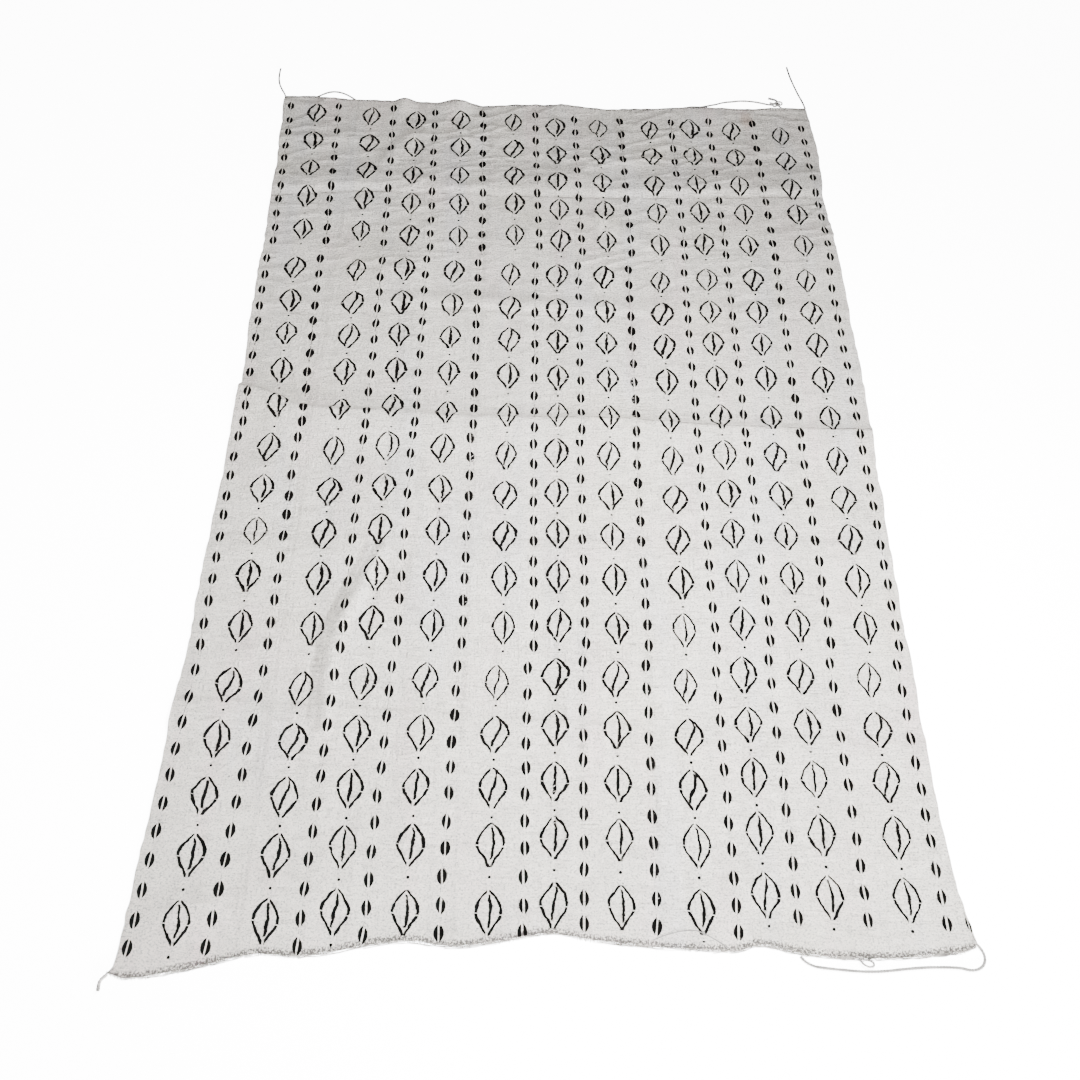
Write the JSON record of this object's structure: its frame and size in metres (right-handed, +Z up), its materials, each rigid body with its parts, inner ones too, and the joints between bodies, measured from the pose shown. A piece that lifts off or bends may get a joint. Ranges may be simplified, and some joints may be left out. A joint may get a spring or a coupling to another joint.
{
  "type": "mud cloth",
  "caption": "Flat cloth of narrow hand-woven cotton strips sewn side by side, painted with rows of dark shell-like marks, with soft fold creases and a frayed near end.",
  "frame": {"origin": "on the ground under the cloth, in the middle of the width and length of its eight strips and frayed end", "axes": "+X across the strips to the right as the picture shows it, +Y along the strips to the far end, +Z up"},
  "size_m": [1.052, 1.7382, 0.0156],
  "materials": {
    "woven_cotton": "matt hand-woven cotton with near-black painted marks",
    "frayed_cotton": "matt loose cotton ends",
    "loose_yarn": "matt two-ply cotton yarn"
  },
  "bodies": {
    "root": {"strip_1": "woven_cotton", "strip_2": "woven_cotton", "strip_3": "woven_cotton", "strip_4": "woven_cotton", "strip_5": "woven_cotton", "strip_6": "woven_cotton", "strip_7": "woven_cotton", "strip_8": "woven_cotton", "near_fray": "frayed_cotton", "far_left_yarn": "loose_yarn", "far_left_arc": "loose_yarn", "far_right_arc": "loose_yarn", "far_right_yarn": "loose_yarn", "near_right_yarn": "loose_yarn", "near_thread": "loose_yarn", "far_knot": "loose_yarn"}
  },
  "joints": []
}
